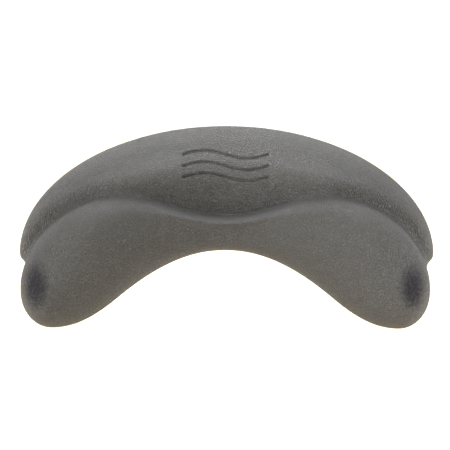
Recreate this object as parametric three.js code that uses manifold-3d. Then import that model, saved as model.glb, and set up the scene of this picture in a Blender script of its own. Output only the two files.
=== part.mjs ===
// Headrest pillow for a hot-tub seat: a grained soft skin moulded over a foam core, closed at the back by a
// smooth skin, with a moulded-in plastic plate that carries three barbed pegs. The pegs push into holes in
// the tub's shell.
//
// Millimetres. +X is to the right and +Z is up as the pillow is seen from the seat, and the pillow's front
// faces -Y. The flat back lies on the plane y = 0, and the origin is midway between the two lower pegs.

import * as THREE from "three";
import { mergeVertices } from "three/addons/utils/BufferGeometryUtils.js";
import Module from "manifold-3d";

const wasm = await Module();
wasm.setup();

// ---------------------------------------------------------------------------------------------------------
// Driving dimensions
// ---------------------------------------------------------------------------------------------------------

const GAP = 0.3; // between pieces that touch
const SKIN = 2; // thickness of the front and back skins
const BACK_EDGE = 4; // how far the front skin rolls in towards the flat back

// The collar is the upper roll. Its outer edge is half an ellipse.
const COLLAR = { halfWidth: 165, rise: 103.7, baseZ: -22, rimDepth: 12, tipRadius: 4, overlap: 14 };
const COLLAR_SOFT = { back: 1.5, rim: 5, crest: 13, valley: 4 }; // how far before a corner its curve starts

// Sections of the collar, by angle along that ellipse from an ear (0) to the top (90). "In" is the distance
// from the outer edge, and "depth" the distance in front of the flat back.
const COLLAR_SECTIONS = [
  { angle: 0, crestIn: 4, crestDepth: 17, valleyIn: 9, valleyDepth: 14 },
  { angle: 22, crestIn: 9.5, crestDepth: 32, valleyIn: 21.2, valleyDepth: 28 },
  { angle: 40, crestIn: 17, crestDepth: 48, valleyIn: 28.8, valleyDepth: 44.5 },
  { angle: 56, crestIn: 24, crestDepth: 60, valleyIn: 40, valleyDepth: 55 },
  { angle: 72, crestIn: 29.5, crestDepth: 57, valleyIn: 58, valleyDepth: 48 },
  { angle: 90, crestIn: 33, crestDepth: 50, valleyIn: 69, valleyDepth: 44 },
];

// The wings are the two lobes that wrap round the neck, with the narrow bridge between them. This is the
// right half of their outline, from the bridge's top, round the lobe, to the top of the neck arch.
const WING_OUTLINE = [
  [[0, 12.5], [32, 12.5], [50, 27.5], [80, 27.5]],
  [[80, 27.5], [116, 27.5], [161, -4], [160.5, -45]],
  [[160.5, -45], [160.5, -61], [150, -75], [135.5, -75]],
  [[135.5, -75], [119.5, -75], [106, -69], [88, -55]],
  [[88, -55], [61.5, -32.5], [33, -14.8], [0, -14.8]],
];
const WING_SPINE = [[0, 5], [40, 8], [105, 30], [134, -42]]; // where each lobe's ribs start
// The front's depth at the bridge and on the lobes, and the X from and to which it changes.
const WING_DEPTH = { bridge: 61, lobe: 86, from: 10, to: 118 };
const WING_WALL = { up: 0.68, side: 0.5, down: 0.55 }; // share of the depth that is straight side wall
const WING_EDGE = { up: 2.4, side: 2.9, down: 2.5 }; // how square the lobes' front edge is: 2 is round
const BRIDGE_EDGE = { up: 2.1, down: 3.2, halfWidth: 75 }; // the same for the bridge

// Three parallel wave lines are pressed into the middle of the collar. "Low" is the lowest one's height.
const WAVES = {
  count: 3,
  low: 43.5,
  spacing: 8.5,
  halfLength: 33,
  swing: 3,
  lineWidth: 2,
  depth: 1.1,
  steps: 16,
};

// The moulded-in plate is an arc through the three pegs.
const PEG_PLACES = [
  { name: "left", x: -105, z: 0 },
  { name: "centre", x: 0, z: 40 },
  { name: "right", x: 105, z: 0 },
];
const PLATE = { halfWidth: 17, endAngle: 47, thickness: 3, rib: 2.4, ribHeight: 7, holeRadius: 5 };
const BOSS = { radius: 7, length: 15, boreLength: 14 };

// A peg, along +Y from the flat back. "Flange", "relief", "stem", "barb" and "cup" are radii.
const PEG = {
  flange: 14,
  flangeThickness: 2,
  chamfer: 0.5,
  relief: 8.2,
  reliefDepth: 0.8,
  stem: 5.5,
  barb: 6.8,
  length: 16,
  cup: 4,
  floor: 1.5,
};
const BARBS = [5, 8.6, 12.2]; // where each barb starts
const BARB_STEP = 0.5; // length of a barb's steep face
const SLOT = { width: 1.6, from: 4.2 }; // the crossed slots that let the barbs close up
const SCREW = { shank: 1.9, hole: 2.2, head: 3.6, headHeight: 2.4, length: 17, tip: 3, point: 0.4 };
const RECESS = { reach: 1.9, width: 0.9, depth: 1.3 }; // the cross in a screw's head
const WASHER = { outer: 3.7, thickness: 0.8 };

const BITE = 0.5; // how far two joined shapes run into each other
const CLEAR = 1; // how far a cutter runs past what it cuts
const ROUND = 24; // facets on a round piece
const COLLAR_STEP = 7.5; // degrees between the collar's sections
const TIP_TURNS = [90, 65, 40, 20]; // degrees round each ear's soft end
const WING_RIBS = 11; // ribs from the bridge to each lobe
const WING_FAN = 26; // steps round the end of a lobe
const EDGE_TURNS = [0, 17, 34, 52, 70, 90]; // degrees round the wings' front edge

// ---------------------------------------------------------------------------------------------------------
// Solids
// ---------------------------------------------------------------------------------------------------------

// A closed geometry as a manifold-3d solid.
function solid(geometry) {
  const bare = geometry.clone();
  for (const name of Object.keys(bare.attributes)) if (name !== "position") bare.deleteAttribute(name);
  const merged = mergeVertices(bare, 1e-4);
  const corners = merged.index.array;
  const kept = [];
  for (let i = 0; i < corners.length; i += 3) {
    const [a, b, c] = corners.slice(i, i + 3);
    if (a !== b && b !== c && c !== a) kept.push(a, b, c);
  }
  return new wasm.Manifold(
    new wasm.Mesh({
      numProp: 3,
      vertProperties: merged.attributes.position.array,
      triVerts: new Uint32Array(kept),
    }),
  );
}

// A manifold-3d solid as a geometry.
function geometryOf(made) {
  const mesh = made.getMesh();
  return new THREE.BufferGeometry()
    .setAttribute("position", new THREE.BufferAttribute(mesh.vertProperties, 3))
    .setIndex(new THREE.BufferAttribute(mesh.triVerts, 1));
}

// The surface through loops of points, each joined to the next, and a call that closes a loop with a fan about
// its middle.
function skinOver(loops) {
  const count = loops[0].length;
  const points = loops.flat();
  const faces = [];
  const quad = (a, b, c, d) => faces.push(a, b, c, a, c, d);
  for (let k = 0; k + 1 < loops.length; k++)
    for (let i = 0; i < count; i++) {
      const next = (i + 1) % count;
      quad(k * count + i, k * count + next, (k + 1) * count + next, (k + 1) * count + i);
    }
  const fan = (loop, start, flipped) => {
    const middle = loop.reduce((sum, p) => sum.add(p), new THREE.Vector3()).divideScalar(count);
    points.push(middle);
    for (let i = 0; i < count; i++) {
      const pair = [start + i, start + ((i + 1) % count)];
      faces.push(points.length - 1, ...(flipped ? pair.reverse() : pair));
    }
  };
  return { points, faces, fan };
}

function bufferGeometry({ points, faces }) {
  return new THREE.BufferGeometry().setFromPoints(points).setIndex(faces);
}

// A solid that faces outwards whichever way its loops ran.
function facingOut(surface) {
  const made = solid(bufferGeometry(surface));
  if (made.volume() > 0) return made;
  const turned = surface.faces.slice();
  for (let i = 0; i < turned.length; i += 3) [turned[i], turned[i + 1]] = [turned[i + 1], turned[i]];
  return solid(bufferGeometry({ points: surface.points, faces: turned }));
}

function turnedProfile(profile) {
  return new THREE.LatheGeometry(profile.map(([r, y]) => new THREE.Vector2(r, y)), ROUND);
}

// A block between two corners.
function block(low, high) {
  const size = high.map((v, i) => v - low[i]);
  const middle = high.map((v, i) => (v + low[i]) / 2);
  return solid(new THREE.BoxGeometry(...size).translate(...middle));
}

// A rod along Y between two depths in front of the back.
function rod(radius, x, z, nearDepth, farDepth) {
  const length = farDepth - nearDepth;
  const shape = new THREE.CylinderGeometry(radius, radius, length, ROUND);
  return solid(shape.translate(x, -(nearDepth + farDepth) / 2, z));
}

// ---------------------------------------------------------------------------------------------------------
// The pillow's form
// ---------------------------------------------------------------------------------------------------------

const smooth = (t) => t * t * (3 - 2 * t);
const clamp01 = (t) => Math.min(1, Math.max(0, t));
const mix = (a, b, t) => a + (b - a) * t;

// A property of the collar's sections at an angle from 0 to 180 degrees, the same on both sides of the top.
function collarValue(name, angle) {
  const folded = angle > 90 ? 180 - angle : Math.max(0, angle);
  const last = COLLAR_SECTIONS.length - 1;
  const i = Math.min(last - 1, COLLAR_SECTIONS.findLastIndex((s) => s.angle <= folded));
  const at = (k) => COLLAR_SECTIONS[k > last ? 2 * last - k : Math.max(0, k)];
  const [a, b] = [at(i), at(i + 1)];
  const span = b.angle - a.angle;
  const t = (folded - a.angle) / span;
  const before = i > 0 ? a.angle - at(i - 1).angle : span;
  const after = i + 1 < last ? at(i + 2).angle - b.angle : span;
  const slopeA = ((b[name] - at(i - 1)[name]) / (before + span)) * span;
  const slopeB = ((at(i + 2)[name] - a[name]) / (after + span)) * span;
  const t2 = t * t;
  const t3 = t2 * t;
  return (
    (2 * t3 - 3 * t2 + 1) * a[name] +
    (t3 - 2 * t2 + t) * slopeA +
    (3 * t2 - 2 * t3) * b[name] +
    (t3 - t2) * slopeB
  );
}

// A closed line of [in, depth] points through corners. Each is softened by a curve that starts "soft" before it.
function softened(corners, steps) {
  const line = [];
  corners.forEach(({ at, soft = 0 }, i) => {
    if (!soft) {
      line.push(at);
      return;
    }
    const corner = new THREE.Vector2(...at);
    const towards = (k) => {
      const other = new THREE.Vector2(...corners[(k + corners.length) % corners.length].at);
      const far = other.sub(corner);
      return corner.clone().addScaledVector(far.clone().normalize(), Math.min(soft, 0.45 * far.length()));
    };
    const curve = new THREE.QuadraticBezierCurve(towards(i - 1), corner, towards(i + 1));
    line.push(...curve.getPoints(steps).map((p) => [p.x, p.y]));
  });
  return line;
}

// The corners of a closed outline moved inwards: each side of the outline goes inwards by its own distance.
function movedIn(corners, distances) {
  const count = corners.length;
  const lines = corners.map((p, i) => {
    const q = corners[(i + 1) % count];
    const normal = new THREE.Vector2(p.y - q.y, q.x - p.x).normalize();
    return { normal, at: normal.dot(p) - distances[i] };
  });
  return corners.map((_, i) => {
    const [m, n] = [lines[(i - 1 + count) % count], lines[i]];
    const det = m.normal.cross(n.normal);
    return new THREE.Vector2(
      (m.at * n.normal.y - n.at * m.normal.y) / det,
      (n.at * m.normal.x - m.at * n.normal.x) / det,
    );
  });
}

// How far the back's rolled-in edge is from the outer edge, and how deep it reaches, for a smaller form.
const backEdge = (inset) => BACK_EDGE + inset * Math.SQRT2;
const backRoll = (inset) => BACK_EDGE + inset * (Math.SQRT2 - 1);

// The collar, made smaller all round by "inset" and carried past the back by "past".
function collar(inset, past) {
  const section = (angle) => {
    const value = (name) => collarValue(name, angle);
    const inner = value("valleyIn") + COLLAR.overlap;
    const [rim, crest, valley, root] = movedIn(
      [
        new THREE.Vector2(0, COLLAR.rimDepth),
        new THREE.Vector2(value("crestIn"), value("crestDepth")),
        new THREE.Vector2(value("valleyIn"), value("valleyDepth")),
        new THREE.Vector2(inner, value("valleyDepth")),
        new THREE.Vector2(inner, 0),
        new THREE.Vector2(0, 0),
      ],
      [inset, inset, inset, 0, 0, inset],
    );
    const corners = [
      { at: [backEdge(inset), -past] },
      { at: [backEdge(inset), 0] },
      { at: [inset, backRoll(inset)], soft: COLLAR_SOFT.back },
      { at: rim.toArray(), soft: COLLAR_SOFT.rim },
      { at: crest.toArray(), soft: COLLAR_SOFT.crest },
      { at: valley.toArray(), soft: COLLAR_SOFT.valley },
      { at: root.toArray() },
      { at: [inner, -past] },
    ];
    return softened(past ? corners : corners.slice(1), 3);
  };
  const loopAt = (angle, beyond, thinning) => {
    const turn = THREE.MathUtils.degToRad(angle);
    const { halfWidth, rise, baseZ } = COLLAR;
    const edge = new THREE.Vector2(halfWidth * Math.cos(turn), baseZ + rise * Math.sin(turn) - beyond);
    const inwards = new THREE.Vector2(-Math.cos(turn) / halfWidth, -Math.sin(turn) / rise).normalize();
    const inner = collarValue("valleyIn", angle) + COLLAR.overlap;
    return section(angle).map(([s, d]) => {
      const across = inner - (inner - s) * (1 - thinning / inner);
      const depth = d > BACK_EDGE ? d - thinning * (d / collarValue("crestDepth", angle)) : d;
      return new THREE.Vector3(edge.x + inwards.x * across, -depth, edge.y + inwards.y * across);
    });
  };
  const radius = COLLAR.tipRadius - inset;
  const tip = TIP_TURNS.map((turn) => {
    const t = THREE.MathUtils.degToRad(turn);
    return { beyond: radius * Math.sin(t), thinning: radius * (1 - Math.cos(t)) };
  });
  const right = tip.map(({ beyond, thinning }) => loopAt(0, beyond, thinning));
  const left = tip.map(({ beyond, thinning }) => loopAt(180, beyond, thinning)).reverse();
  const between = [];
  for (let angle = 0; angle <= 180; angle += COLLAR_STEP) between.push(loopAt(angle, 0, 0));
  const surface = skinOver([...right, ...between, ...left]);
  surface.fan(right[0], 0, true);
  surface.fan(left.at(-1), surface.points.length - 1 - left.at(-1).length, false);
  return facingOut(surface);
}

// Height at x along a chain of curves that run across X.
function heightAt(line, x) {
  const i = Math.max(1, line.findIndex((p, k) => k > 0 && (line[k - 1].x - x) * (p.x - x) <= 0));
  const [a, b] = [line[i - 1], line[i]];
  return mix(a.y, b.y, (x - a.x) / (b.x - a.x || 1));
}

const bezier = (points) => new THREE.CubicBezierCurve(...points.map((p) => new THREE.Vector2(...p)));

// The wings' outline as pairs: a point on the edge, and the point on the spine that its rib starts from.
function wingRibs() {
  const sides = WING_OUTLINE.map((points) => bezier(points).getPoints(40));
  const top = [...sides[0], ...sides[1]];
  const bottom = [...sides[3], ...sides[4]];
  const spine = bezier(WING_SPINE).getPoints(80);
  const tip = spine.at(-1);
  const ribs = [];
  const rib = (edge, root) => ribs.push({ edge, root });
  const uprightRib = (side, k) => {
    const x = (tip.x * k) / WING_RIBS;
    const rootZ = k < WING_RIBS ? heightAt(spine, x) : tip.y;
    rib(new THREE.Vector2(x, heightAt(side, x)), new THREE.Vector2(x, rootZ));
  };
  for (let k = 0; k <= WING_RIBS; k++) uprightRib(top, k);
  const round = new THREE.CurvePath();
  WING_OUTLINE.slice(1, 4).forEach((points) => round.add(bezier(points)));
  for (const p of round.getSpacedPoints(WING_FAN)) if (p.x > tip.x + 2) rib(p, tip);
  for (let k = WING_RIBS; k >= 0; k--) uprightRib(bottom, k);
  const mirrored = ribs
    .slice(1, -1)
    .reverse()
    .map(({ edge, root }) => ({
      edge: new THREE.Vector2(-edge.x, edge.y),
      root: new THREE.Vector2(-root.x, root.y),
    }));
  return [...ribs, ...mirrored];
}

// The front's depth at x.
function wingDepth(x) {
  const { bridge, lobe, from, to } = WING_DEPTH;
  return mix(bridge, lobe, smooth(clamp01((Math.abs(x) - from) / (to - from))));
}

// A value that depends on which way the edge faces.
function byFacing({ up, side, down }, facing) {
  return facing.y > 0 ? mix(side, up, facing.y ** 2) : mix(side, down, facing.y ** 2);
}

function wings(inset, past) {
  const ribs = wingRibs();
  const count = ribs.length;
  ribs.forEach((r, i) => {
    const along = ribs[(i + 1) % count].edge.clone().sub(ribs[(i - 1 + count) % count].edge);
    r.facing = new THREE.Vector2(-along.y, along.x).normalize();
  });
  const place = ({ edge, root, facing }, inwards, depth) => {
    const start = edge.clone().addScaledVector(facing, -inset);
    const p = start.lerp(root, inwards);
    return new THREE.Vector3(p.x, -depth, p.y);
  };
  const reach = (r) => r.edge.distanceTo(r.root);
  const front = (r, inwards) => {
    const x = mix(r.edge.x, r.root.x, inwards);
    return wingDepth(x) - inset;
  };
  const rolled = backRoll(inset);
  const loops = [
    ribs.map((r) => place(r, 1, -past)),
    ribs.map((r) => place(r, rolled / reach(r), -past)),
    ribs.map((r) => place(r, rolled / reach(r), 0)),
    ribs.map((r) => place(r, 0, rolled)),
  ];
  if (!past) loops.splice(1, 1);
  const middleOfWall = 0.6;
  loops.push(ribs.map((r) => place(r, 0, middleOfWall * byFacing(WING_WALL, r.facing) * front(r, 0))));
  for (const turn of EDGE_TURNS) {
    const angle = THREE.MathUtils.degToRad(turn);
    loops.push(
      ribs.map((r) => {
        const onLobes = smooth(clamp01(Math.abs(r.edge.x) / BRIDGE_EDGE.halfWidth));
        const bridgeEdge = r.facing.y > 0 ? BRIDGE_EDGE.up : BRIDGE_EDGE.down;
        const power = 2 / mix(bridgeEdge, byFacing(WING_EDGE, r.facing), onLobes);
        const inwards = 1 - Math.cos(angle) ** power;
        const share = mix(byFacing(WING_WALL, r.facing), 1, Math.sin(angle) ** power);
        return place(r, turn === 90 ? 1 : inwards, front(r, inwards) * share);
      }),
    );
  }
  return facingOut(skinOver(loops));
}

function pillow(inset = 0, past = 0) {
  return collar(inset, past).add(wings(inset, past));
}

// ---------------------------------------------------------------------------------------------------------
// The plate and its fixings
// ---------------------------------------------------------------------------------------------------------

const plateArc = (() => {
  const { x, z } = PEG_PLACES[2];
  const rise = PEG_PLACES[1].z - z;
  const radius = (x * x + rise * rise) / (2 * rise);
  return { radius, centreZ: PEG_PLACES[1].z - radius };
})();

function onPlateArc(degreesFromTop, radius = plateArc.radius) {
  const turn = THREE.MathUtils.degToRad(degreesFromTop);
  return { x: radius * Math.sin(turn), z: plateArc.centreZ + radius * Math.cos(turn) };
}

// A band along the plate's arc with round ends, between two depths.
function arcBand(halfWidth, nearDepth, farDepth) {
  const top = Math.PI / 2;
  const turn = THREE.MathUtils.degToRad(PLATE.endAngle);
  const band = new THREE.Shape();
  const end = (side) => onPlateArc(side * PLATE.endAngle);
  const { radius, centreZ } = plateArc;
  band.absarc(0, centreZ, radius + halfWidth, top - turn, top + turn, false);
  band.absarc(end(-1).x, end(-1).z, halfWidth, top + turn, top + turn + Math.PI, false);
  band.absarc(0, centreZ, radius - halfWidth, top + turn, top - turn, true);
  band.absarc(end(1).x, end(1).z, halfWidth, top - turn - Math.PI, top - turn, false);
  const shape = new THREE.ExtrudeGeometry(band, {
    depth: farDepth - nearDepth,
    bevelEnabled: false,
    curveSegments: 10,
  });
  return solid(shape.rotateX(Math.PI / 2).translate(0, -nearDepth, 0));
}

const PLATE_BACK = SKIN + GAP;
const PLATE_FRONT = PLATE_BACK + PLATE.thickness;
const KEY_HOLES = [-31.5, -21, -10.5, 10.5, 21, 31.5]; // degrees from the top, where foam grows through
const CROSS_RIBS = [-36, -26.2, -15.8, 15.8, 26.2, 36];

// The plate, or with a gap the pocket that it fills in the foam.
function plate(gap = 0) {
  const back = PLATE_BACK - gap;
  const ribEnd = PLATE_FRONT + PLATE.ribHeight + gap;
  let made = arcBand(PLATE.halfWidth + gap, back, PLATE_FRONT + gap);
  const rim = arcBand(PLATE.halfWidth + gap, PLATE_FRONT - BITE, ribEnd).subtract(
    arcBand(PLATE.halfWidth - PLATE.rib - gap, PLATE_FRONT - BITE - CLEAR, ribEnd + CLEAR),
  );
  made = made.add(rim);
  for (const angle of CROSS_RIBS) {
    const half = PLATE.rib / 2 + gap;
    const long = PLATE.halfWidth - PLATE.rib / 2;
    const { x, z } = onPlateArc(angle);
    const bar = new THREE.BoxGeometry(2 * half, ribEnd - PLATE_FRONT + BITE, 2 * long);
    bar.rotateY(THREE.MathUtils.degToRad(angle)).translate(x, -(ribEnd + PLATE_FRONT - BITE) / 2, z);
    made = made.add(solid(bar));
  }
  for (const { x, z } of PEG_PLACES) {
    made = made.add(rod(BOSS.radius + gap, x, z, PLATE_FRONT - BITE, PLATE_FRONT + BOSS.length + gap));
    if (!gap) made = made.subtract(rod(SCREW.hole, x, z, PLATE_BACK - CLEAR, PLATE_FRONT + BOSS.boreLength));
  }
  for (const angle of KEY_HOLES) {
    const { x, z } = onPlateArc(angle);
    made = made.subtract(rod(PLATE.holeRadius - gap, x, z, back - CLEAR, PLATE_FRONT + gap + CLEAR));
  }
  return made;
}

function peg() {
  const profile = [
    [SCREW.hole, -PEG.flangeThickness],
    [PEG.flange, -PEG.flangeThickness],
    [PEG.flange, -PEG.chamfer],
    [PEG.flange - PEG.chamfer, 0],
    [PEG.relief, 0],
    [PEG.relief - 0.7, -PEG.reliefDepth],
    [PEG.stem + 0.4, -PEG.reliefDepth],
    [PEG.stem, -0.2],
  ];
  for (const start of BARBS) {
    const next = BARBS.find((other) => other > start);
    profile.push([PEG.stem, start], [PEG.barb, start + BARB_STEP]);
    if (!next) profile.push([PEG.cup + 0.6, PEG.length]);
  }
  profile.push([PEG.cup, PEG.length], [PEG.cup, PEG.floor], [SCREW.hole, PEG.floor], profile[0]);
  let made = solid(turnedProfile(profile));
  const across = PEG.barb + CLEAR;
  const past = PEG.length + CLEAR;
  const half = SLOT.width / 2;
  made = made.subtract(block([-across, SLOT.from, -half], [across, past, half]));
  return made.subtract(block([-half, SLOT.from, -across], [half, past, across]));
}

function washer() {
  const near = PEG.floor + GAP;
  const far = near + WASHER.thickness;
  const inner = SCREW.hole;
  const { outer } = WASHER;
  return solid(turnedProfile([[inner, near], [outer, near], [outer, far], [inner, far], [inner, near]]));
}

function screw() {
  const under = PEG.floor + WASHER.thickness + 2 * GAP;
  const top = under + SCREW.headHeight;
  const end = under - SCREW.length;
  const made = solid(
    turnedProfile([
      [0, end],
      [SCREW.point, end],
      [SCREW.shank, end + SCREW.tip],
      [SCREW.shank, under],
      [SCREW.head, under],
      [SCREW.head, under + 0.5 * SCREW.headHeight],
      [0.7 * SCREW.head, top - 0.2],
      [0, top],
    ]),
  );
  const { reach, depth } = RECESS;
  const half = RECESS.width / 2;
  const cross = block([-reach, top - depth, -half], [reach, top + CLEAR, half]);
  return made.subtract(cross.add(block([-half, top - depth, -reach], [half, top + CLEAR, reach])));
}

// ---------------------------------------------------------------------------------------------------------
// Soft pieces
// ---------------------------------------------------------------------------------------------------------

const FAR = 400; // past every piece
const THROUGH = 80; // from the back past the collar's front

// A wave line with round ends, as a bar that runs through the pillow from front to back.
function waveBar(height) {
  const { halfLength, swing, lineWidth, steps } = WAVES;
  const along = (t) =>
    new THREE.Vector2(halfLength * (2 * t - 1), height + swing * Math.sin(2 * Math.PI * t));
  const side = (which) =>
    Array.from({ length: steps + 1 }, (_, i) => {
      const t = i / steps;
      const way = along(t + 0.01).sub(along(t - 0.01)).normalize();
      return along(t).add(new THREE.Vector2(-way.y, way.x).multiplyScalar((which * lineWidth) / 2));
    });
  const start = along(0);
  const end = along(1);
  const line = new THREE.Shape();
  const lean = Math.atan2(along(0.01).y - start.y, along(0.01).x - start.x);
  side(1).forEach((p, i) => (i ? line.lineTo(p.x, p.y) : line.moveTo(p.x, p.y)));
  line.absarc(end.x, end.y, lineWidth / 2, lean + Math.PI / 2, lean - Math.PI / 2, true);
  side(-1).reverse().forEach((p) => line.lineTo(p.x, p.y));
  line.absarc(start.x, start.y, lineWidth / 2, lean - Math.PI / 2, lean - (3 * Math.PI) / 2, true);
  const bar = new THREE.ExtrudeGeometry(line, { depth: THROUGH, bevelEnabled: false, curveSegments: 5 });
  return solid(bar.rotateX(Math.PI / 2));
}

function frontSkin() {
  let made = pillow().subtract(pillow(SKIN, CLEAR));
  const floor = pillow(WAVES.depth);
  for (let i = 0; i < WAVES.count; i++) {
    made = made.subtract(waveBar(WAVES.low + i * WAVES.spacing).subtract(floor));
  }
  return made;
}

function backSkin() {
  let made = pillow(SKIN + GAP, CLEAR).intersect(block([-FAR, -SKIN, -FAR], [FAR, 0, FAR]));
  for (const { x, z } of PEG_PLACES) made = made.subtract(rod(PEG.flange + GAP, x, z, -CLEAR, SKIN + CLEAR));
  return made;
}

function foamCore() {
  const inFrontOfSkin = block([-FAR, -FAR, -FAR], [FAR, -PLATE_BACK, FAR]);
  return pillow(SKIN + GAP, CLEAR).intersect(inFrontOfSkin).subtract(plate(GAP));
}

// ---------------------------------------------------------------------------------------------------------
// Assembly
// ---------------------------------------------------------------------------------------------------------

const MATERIALS = {
  grained: new THREE.MeshStandardMaterial({ color: 0x6b6a67, roughness: 0.55, metalness: 0 }),
  smooth: new THREE.MeshStandardMaterial({ color: 0x5e5d5b, roughness: 0.6, metalness: 0 }),
  foam: new THREE.MeshStandardMaterial({ color: 0x8b8985, roughness: 0.95, metalness: 0 }),
  plastic: new THREE.MeshStandardMaterial({ color: 0x2b2b2c, roughness: 0.45, metalness: 0 }),
  steel: new THREE.MeshStandardMaterial({ color: 0xb9bbbd, roughness: 0.3, metalness: 1 }),
};

function piece(name, made, material) {
  const mesh = new THREE.Mesh(geometryOf(made), material);
  mesh.name = name;
  mesh.geometry.computeVertexNormals();
  return mesh;
}

const headrest = new THREE.Group();
headrest.add(piece("front_skin", frontSkin(), MATERIALS.grained));
headrest.add(piece("back_skin", backSkin(), MATERIALS.smooth));
headrest.add(piece("foam_core", foamCore(), MATERIALS.foam));
headrest.add(piece("stiffener_plate", plate(), MATERIALS.plastic));
for (const { name, x, z } of PEG_PLACES) {
  const fixing = new THREE.Group();
  fixing.position.set(x, 0, z);
  fixing.add(piece(`peg_${name}`, peg(), MATERIALS.plastic));
  fixing.add(piece(`peg_washer_${name}`, washer(), MATERIALS.steel));
  fixing.add(piece(`peg_screw_${name}`, screw(), MATERIALS.steel));
  headrest.add(fixing);
}

export default headrest;
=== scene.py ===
"""Looks of a moulded headrest pillow: a grained skin over foam, a smooth back skin, and barbed pegs.

The form is drawn in millimetres, as sections of two soft bodies (a collar, and wings with a bridge between
them), and becomes metres when it is made into a mesh. -Y is the front, and the flat back lies at y = 0.
"""

import math

import bmesh
import bpy
import numpy as np
from mathutils import Matrix, Vector


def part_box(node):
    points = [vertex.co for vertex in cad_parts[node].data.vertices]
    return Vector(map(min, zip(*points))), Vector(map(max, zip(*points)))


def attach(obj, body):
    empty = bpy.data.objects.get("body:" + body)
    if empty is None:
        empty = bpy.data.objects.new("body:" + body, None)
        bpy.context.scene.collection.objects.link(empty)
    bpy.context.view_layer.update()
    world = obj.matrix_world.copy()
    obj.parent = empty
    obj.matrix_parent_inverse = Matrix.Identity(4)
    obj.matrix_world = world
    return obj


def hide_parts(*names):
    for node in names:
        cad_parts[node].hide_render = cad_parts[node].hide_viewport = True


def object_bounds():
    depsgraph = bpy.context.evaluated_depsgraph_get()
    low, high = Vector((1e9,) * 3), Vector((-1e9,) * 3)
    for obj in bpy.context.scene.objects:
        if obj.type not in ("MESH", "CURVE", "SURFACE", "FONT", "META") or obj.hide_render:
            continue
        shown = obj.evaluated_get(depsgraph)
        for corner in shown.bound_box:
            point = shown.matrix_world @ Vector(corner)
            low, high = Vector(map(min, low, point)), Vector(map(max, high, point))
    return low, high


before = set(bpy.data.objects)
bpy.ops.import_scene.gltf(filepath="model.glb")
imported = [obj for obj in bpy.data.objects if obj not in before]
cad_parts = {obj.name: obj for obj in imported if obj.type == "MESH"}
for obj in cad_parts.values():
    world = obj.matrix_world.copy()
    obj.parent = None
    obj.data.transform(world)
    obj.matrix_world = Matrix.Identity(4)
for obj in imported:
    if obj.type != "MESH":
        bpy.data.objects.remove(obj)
cad_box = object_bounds()

MM = 0.001
BODY = "root"

# ----------------------------------------------------------------------------------------------------------
# Driving dimensions of the form, in millimetres
# ----------------------------------------------------------------------------------------------------------

SKIN = 2.0  # thickness of the skins
GAP = 0.3  # between pieces that touch
BACK_EDGE = 4.0  # how far the skin rolls in towards the flat back
LIP = 2.8  # width of the flat lip of the front skin round the back skin

# The collar's outer edge is half an ellipse.
COLLAR = {"half_width": 165, "rise": 103.7, "base_z": -22, "rim_depth": 12, "tip": 4, "overlap": 14}
COLLAR_SOFT = {"back": 3, "rim": 5, "crest": 13, "valley": 4}  # how far before a corner its curve starts
# Angle along the ellipse from an ear, then how far in and how deep the crest and the valley are.
COLLAR_SECTIONS = (
    (0, 4, 17, 9, 14),
    (22, 9.5, 32, 21.2, 28),
    (40, 17, 48, 28.8, 44.5),
    (56, 24, 60, 40, 55),
    (72, 29.5, 57, 58, 48),
    (90, 33, 50, 69, 44),
)
ANGLE, CREST_IN, CREST_DEPTH, VALLEY_IN, VALLEY_DEPTH = range(5)

# Right half of the wings' outline: bridge top, over the lobe, round its end, and up to the neck arch.
WING_OUTLINE = (
    ((0, 12.5), (32, 12.5), (50, 27.5), (80, 27.5)),
    ((80, 27.5), (116, 27.5), (161, -4), (160.5, -45)),
    ((160.5, -45), (160.5, -61), (150, -75), (135.5, -75)),
    ((135.5, -75), (119.5, -75), (106, -69), (88, -55)),
    ((88, -55), (61.5, -32.5), (33, -14.8), (0, -14.8)),
)
WING_SPINE = ((0, 5), (40, 8), (105, 30), (134, -42))
WING_DEPTH = {"bridge": 61, "lobe": 86, "from": 10, "to": 118}  # depths, and between which X they change
WING_WALL = {"up": 0.68, "side": 0.5, "down": 0.55}  # share of the depth that is straight wall
WING_EDGE = {"up": 2.4, "side": 2.9, "down": 2.5}  # how square the front edge is: 2 is round
BRIDGE_EDGE = {"up": 2.1, "down": 3.2, "half_width": 75}  # the same for the bridge
BEAD = {"height": 5, "below": 4.5, "width": 3.2}  # the soft bead along the bridge's top edge

# Three parallel wave lines pressed into the collar, with sloping sides.
WAVES = {"count": 3, "low": 43.5, "spacing": 8.5, "half_length": 33, "swing": 3}
WAVE_GROOVE = {"width": 2, "depth": 1.1, "slope": 0.65}

VOXEL = 1.9  # size of the skin's mesh faces
FOAM_VOXEL = 2.6  # the same for the foam
# The form is softened within this reach of the crease, and most from this X outwards.
CREASE = {"reach": 8, "softest": 100}
NEARLY_FLAT = 0.6  # how close to the back a point must be to be laid flat

GRAIN = 750  # the leather grain's pebbles in a metre, about 1.3 mm each
SKIN_LEVEL = 0.094  # the skin's reflectance
# The grain is weaker in some places. Each pair says between which two places it changes.
FRONT_FADE = (-68, -52)  # on Y, from the front, which heads rub, backwards
RIM_FADE = (-35, -12)  # on Y, towards the back's rim
TOP_FADE = (33, 55)  # on Z, towards the collar's top
BRIDGE_FADE = (45, 90)  # on X, outwards from the bridge, whose top is worn
BRIDGE_TOP = (25, 35)  # on Z, above which the skin isn't the bridge's
# The patch of painted shade near each lobe's outer end: its middle, its half width and its half height.
SHADE_PATCH = {"x": 145.5, "z": -39.5, "wide": 9, "high": 16}
SHADE_PATCH_COLOUR = (0.010, 0.008, 0.017, 1)


# ----------------------------------------------------------------------------------------------------------
# Helpers
# ----------------------------------------------------------------------------------------------------------


def new_object(name, mesh):
    obj = bpy.data.objects.new(name, mesh)
    bpy.context.scene.collection.objects.link(obj)
    return obj


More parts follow.
